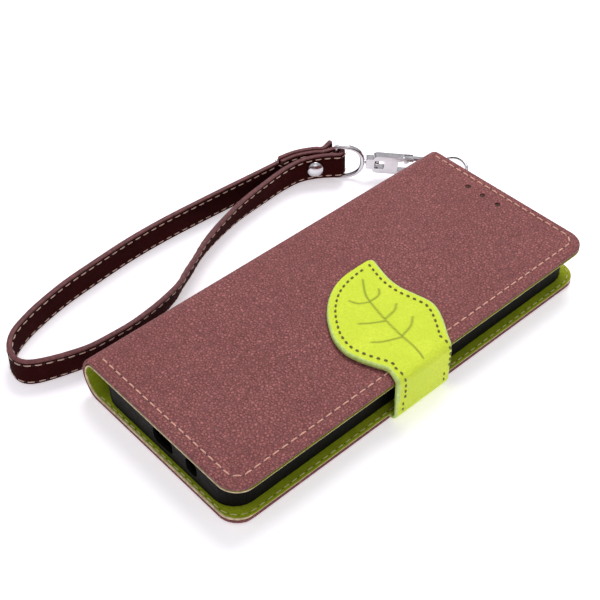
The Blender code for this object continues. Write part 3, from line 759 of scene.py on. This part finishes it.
def flap_seams():
    """Sew the leaf's rim, the bend and the band's edges with short dark stitches."""
    top = LEAF_MID_Z + LEAF_THICK / 2 + 0.08
    upper = inset_line(spline(LEAF_UPPER[1:], 0.5), -RIM_INSET)
    lower = inset_line(spline(LEAF_LOWER[1:], 0.5), RIM_INSET)
    lines = []
    for line in (upper[:-TIP_SKIP[0]], lower[:-TIP_SKIP[1]]):
        bend = []
        for point, ahead in zip(LEAF_TURN, LEAF_TURN[1:]):
            out = Vector((ahead.y - point.y, point.x - ahead.x)).normalized()
            place = point + out * (LEAF_THICK / 2)
            bend.append((Vector((place.x, line[0].y, place.y)), Vector((out.x, 0, out.y))))
        flat = [(Vector((p.x, p.y, top)), UP) for p in line if p.x < LEAF_TURN[-1].x]
        lines.append(bend + flat)
    stitches = seam("leaf_stitches", None, OLIVE_THREAD, lines, 2.3, 1.25, 0.72, False)
    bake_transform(stitches)
    lines = []
    for y in (BAND_Y[0] + RIM_INSET, BAND_Y[1] - RIM_INSET):
        ends = [Vector((37.7, y, z)) for z in (3.6, 9.0)]
        lines.append([(point, Vector((1, 0, 0))) for point in dice(ends, 0.5)])
    seam("band_stitches", "flap", OLIVE_THREAD, lines, 2.3, 1.25, 0.6, False)


# ---- Strap -----------------------------------------------------------------------------------

# Each point is x, y, height of the lower edge and lean of the upper edge to the left in degrees.
OUTER_RUN = ((-72.1, 35.5, 0.7, 4), (-73.0, 26.0, 0.4, 5), (-74.1, 14.0, 0.1, 5),
             (-75.0, 0.0, 0.0, 5), (-75.6, -15.0, 0.0, 5), (-75.3, -30.0, 0.0, 5),
             (-73.8, -46.0, 0.0, 5), (-72.3, -58.0, 0.0, 5), (-69.8, -69.0, 0.0, 5),
             (-67.5, -76.0, 0.0, 5), (-64.5, -82.0, 0.0, 4), (-60.5, -85.8, 0.0, 3),
             (-56.5, -87.4, 0.0, 2), (-53.0, -87.3, 0.0, 0), (-50.3, -85.4, 0.0, -3),
             (-48.3, -81.6, 0.0, -6))
INNER_RUN = ((-46.4, -76.0, 0.0, -9), (-44.3, -68.0, 0.0, -11), (-43.8, -60.0, 0.0, -12),
             (-44.1, -52.0, 0.0, -14), (-45.4, -44.0, 0.0, -16), (-47.2, -37.0, 0.0, -18),
             (-49.4, -31.0, 0.0, -20), (-52.0, -26.5, 0.0, -20), (-55.3, -20.0, 0.0, -20),
             (-59.2, -13.0, 0.0, -20), (-62.2, -5.5, 0.0, -19), (-64.8, 3.4, 0.0, -17),
             (-66.5, 12.0, 0.1, -14), (-67.4, 24.0, 0.4, -9), (-67.6, 33.0, 0.9, -6),
             (-66.6, 40.4, 1.4, -4), (-63.9, 45.9, 1.8, -2), (-60.8, 49.4, 2.2, 0))
TAIL_END = (-66.1, 55.8, 2.2, 0)
STRAP_STEP = 1.0
LAYERED = (6, 20)             # distances before the ring between which the strap lies in layers
STRAP_SEAM_INSET = 1.4
STRAP_LIFT = RING_MIDDLE_Z - STRAP_WIDTH / 2


def left_of(path, i):
    """Return the horizontal unit vector to the left of a path at one of its points."""
    ahead = path[min(i + 1, len(path) - 1)].xy - path[max(i - 1, 0)].xy
    return Vector((-ahead.y, ahead.x)).normalized()


def beside(path, offset, first, last):
    """Return the part of a path between two distances from its end, moved to its left."""
    moved = []
    for i, point in enumerate(path):
        back = (len(path) - 1 - i) * STRAP_STEP
        if first <= back <= last:
            place = point.xy + left_of(path, i) * offset
            moved.append((place.x, place.y, point.z, point.w))
    return moved


def strap_paths():
    """Return the strap's inner run and its whole path, from its tail to its fold-back's end."""
    left = Vector((-AXIS_FLAT.y, AXIS_FLAT.x))
    start = BAR.xy - left * WRAP_RADIUS
    inner = spline(INNER_RUN + ((start.x, start.y, STRAP_LIFT, 0),), STRAP_STEP)
    near = beside(inner, 2 * LAYER_PITCH, *LAYERED)[::2]
    outer = spline((TAIL_END, *near[::-1], *OUTER_RUN, *INNER_RUN[:1]), STRAP_STEP)[:-1]
    turn = math.degrees(CLASP_ANGLE) - 90
    arc = around(BAR.xy, WRAP_RADIUS, turn, turn + 180, 16)
    wrap = [Vector((*point, STRAP_LIFT, 0)) for point in arc]
    folded = beside(inner, LAYER_PITCH, *LAYERED)[::2]
    back = spline((tuple(wrap[-1]), *folded[::-1]), STRAP_STEP)
    return inner, outer + inner[:-1] + wrap + back[1:]


def strap_frame(path, i):
    """Return the foot, the leaning upward direction and the direction across the strap."""
    point = path[i]
    left = Vector((*left_of(path, i), 0.0))
    lean = math.radians(point.w)
    rise = UP * math.cos(lean) + left * math.sin(lean)
    across = left * math.cos(lean) - UP * math.sin(lean)
    foot = Vector((point.x, point.y, point.z + STRAP_THICK / 2 * abs(math.sin(lean))))
    return foot, rise, across


def strap_section(path, i):
    """Return the strap's section: two slightly crowned faces and rounded, painted edges."""
    foot, rise, across = strap_frame(path, i)
    half = STRAP_THICK / 2
    round_off = 0.5
    ring = []
    for sign in (1, -1):
        heights = [round_off, 1.2, 1.6, 3.2, 5.25, 7.3, 8.9, 9.3, STRAP_WIDTH - round_off]
        for h in (heights if sign > 0 else heights[::-1]):
            inset = 0.12 if h in (1.2, 9.3) else 0.0
            edge = 0.06 if h in (round_off, STRAP_WIDTH - round_off) else 0.0
            ring.append(foot + rise * h + across * sign * (half - inset - edge))
        tip = STRAP_WIDTH if sign > 0 else 0.0
        for share, drop in ((0.72, 0.12), (0.25, 0.0), (-0.25, 0.0), (-0.72, 0.12)):
            ring.append(foot + rise * (tip - sign * drop) + across * sign * half * share)
    return ring


def strap():
    """Make the strap and its two rows of stitches on each face."""
    inner, path = strap_paths()
    bm = bmesh.new()
    edges = (*range(8, 13), *range(21, 26))
    skin_rings(bm, [strap_section(path, i) for i in range(len(path))], lambda i: i in edges)
    obj = make("strap_leather", bm, "strap", [DARK, DARK_EDGE])
    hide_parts("strap_band")
    lines = []
    for side in (1, -1):
        for height in (STRAP_SEAM_INSET, STRAP_WIDTH - STRAP_SEAM_INSET):
            line = []
            for i in range(len(path)):
                foot, rise, across = strap_frame(path, i)
                face = across * side
                line.append((foot + rise * height + face * (STRAP_THICK / 2 - 0.08), face))
            lines.append(line[2:-1])
    seam("strap_stitches", "strap", CREAM_THREAD, lines, 3.4, 2.5, 0.46)
    return inner


# ---- Metalwork -------------------------------------------------------------------------------

def wire(points, normal, radius, sides=20):
    """Sweep a round wire along a closed flat path."""
    rings = []
    for i, point in enumerate(points):
        tangent = (points[(i + 1) % len(points)] - points[i - 1]).normalized()
        across = normal.cross(tangent).normalized()
        section = around((0, 0), radius, 0, 360 - 360 / sides, sides - 1)
        rings.append([point + across * u + normal * v for u, v in section])
    bm = bmesh.new()
    skin_rings(bm, rings, closed=True)
    return bm


def turned(profile, origin, axis, steps=40):
    """Turn a profile of (distance along, radius) points about an axis."""
    side = axis.orthogonal().normalized()
    other = axis.cross(side)
    rings = []
    for along, radius in profile:
        ring = around((0, 0), radius, 0, 360 - 360 / steps, steps - 1)
        rings.append([origin + axis * along + side * u + other * v for u, v in ring])
    bm = bmesh.new()
    skin_rings(bm, rings)
    return bm


def joint_point(name):
    """Return a joint's place in millimetres and its axis."""
    joint = next(item for item in frame["joints"] if item["name"] == name)
    return Vector(joint["pos_m"]) / MM, Vector(joint["axis"]).normalized()


def ring_and_post():
    """Make the D-ring in smooth wire, and the swivel post that turns in the clasp's collar."""
    points = []
    steps = 40
    for i in range(steps + 1):
        turn = math.pi * (i / steps - 0.5)
        out = RING_DEPTH * max(math.cos(turn), 0.0) ** RING_SQUARENESS
        rise = RING_HALF_HEIGHT * math.copysign(abs(math.sin(turn)) ** RING_SQUARENESS, turn)
        points.append(BAR + AXIS_FLAT * out + UP * (RING_MIDDLE_Z + rise))
    for share in (0.6, 0.2, -0.2, -0.6):
        points.append(BAR + UP * (RING_MIDDLE_Z + RING_HALF_HEIGHT * share))
    ring = make("ring_wire", wire(points, AXIS_FLAT.cross(UP), RING_WIRE), "ring",
                [CHROME], 60)
    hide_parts("d_ring")
    bow, axis = joint_point("clasp_swivel")
    profile = ((0.0, 0.65), (4.6, 0.65), (4.7, 1.1), (4.85, 1.3), (5.9, 1.3), (6.1, 1.1))
    make("swivel_post", turned(profile, bow, axis), "ring", [CHROME], 60)


def rivet(inner):
    """Make the rivet's bright dome on the strap's inner face."""
    i = len(inner) - 1 - round(RIVET_BEFORE_BAR / STRAP_STEP)
    outward = Vector((*left_of(inner, i), 0.0))
    centre = Vector((inner[i].x, inner[i].y, inner[i].z + STRAP_WIDTH / 2))
    low, high = (Vector(corner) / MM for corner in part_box("rivet_cap"))
    middle = (low + high) / 2
    centre += outward * ((middle - centre).dot(outward) + 0.95)
    profile = [(0.35, 2.9), (0.30, 3.2), (0.0, 3.25)]
    for degrees in range(5, 90, 7):
        turn = math.radians(degrees)
        profile.append((-0.2 - 1.7 * math.sin(turn), 3.2 * math.cos(turn)))
    cap = make("rivet_dome", turned(profile, centre, outward), "strap", [CHROME], 60)
    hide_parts("rivet_cap")


def lug():
    """Make the lug ring in smooth wire."""
    pivot, side = joint_point("lug_ring_swing")
    low, high = (Vector(corner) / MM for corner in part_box("lug_ring"))
    centre = (low + high) / 2
    out = (centre - pivot).normalized()
    radius = (centre - pivot).length
    points = [centre + side * u + out * v for u, v in around((0, 0), radius, 0, 355, 71)]
    ring = make("lug_wire", wire(points, side.cross(out), LUG_WIRE), "lug", [CHROME], 60)
    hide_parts("lug_ring")


def spring():
    """Make the gate's spring in steel from its rest shape, where it sits between the clasp and the
    gate.
    """
    node = frame["nodes"]["gate_spring"]
    coil = bpy.data.objects.new("spring_coil", node.data.copy())
    coil.data.transform(node.matrix_world)
    coil.data.materials.clear()
    coil.data.materials.append(STEEL)
    bpy.context.collection.objects.link(coil)
    keep_rest(coil)
    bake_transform(coil)
    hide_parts("gate_spring")


def finish_nodes():
    """Give the nodes that stay their materials, softened edges and rest places."""
    finishes = {
        BLACK: ("phone_shell",), GREEN: ("cash_pocket", "card_pocket_1", "card_pocket_2",
                                         "card_pocket_3"),
        DARK: ("strap_tab",), CHROME: ("clasp_hook", "clasp_gate"),
        STEEL: ("gate_pin", "rivet_post", "cover_magnet"),
        BOARD: ("back_board", "cover_board")}
    widths = {"phone_shell": 0.3, "clasp_hook": 0.35, "clasp_gate": 0.25, "strap_tab": 0.12}
    for finish, names in finishes.items():
        for name in names:
            node = frame["nodes"][name]
            for slot in node.material_slots:
                slot.material = finish
            keep_rest(node)
            if name in widths:
                bevel = node.modifiers.new("soft_edges", "BEVEL")
                bevel.width = widths[name] * MM
                bevel.segments = 3
                bevel.limit_method = "ANGLE"
                bevel.angle_limit = math.radians(35)
                bevel.harden_normals = False
            node.data.shade_smooth()
            node.data.set_sharp_from_angle(angle=math.radians(50))


add_camera()
add_light_and_floor()
case_leather()
case_seams()
pocket_seams()
closing_flap()
flap_seams()
rivet(strap())
ring_and_post()
lug()
spring()
finish_nodes()
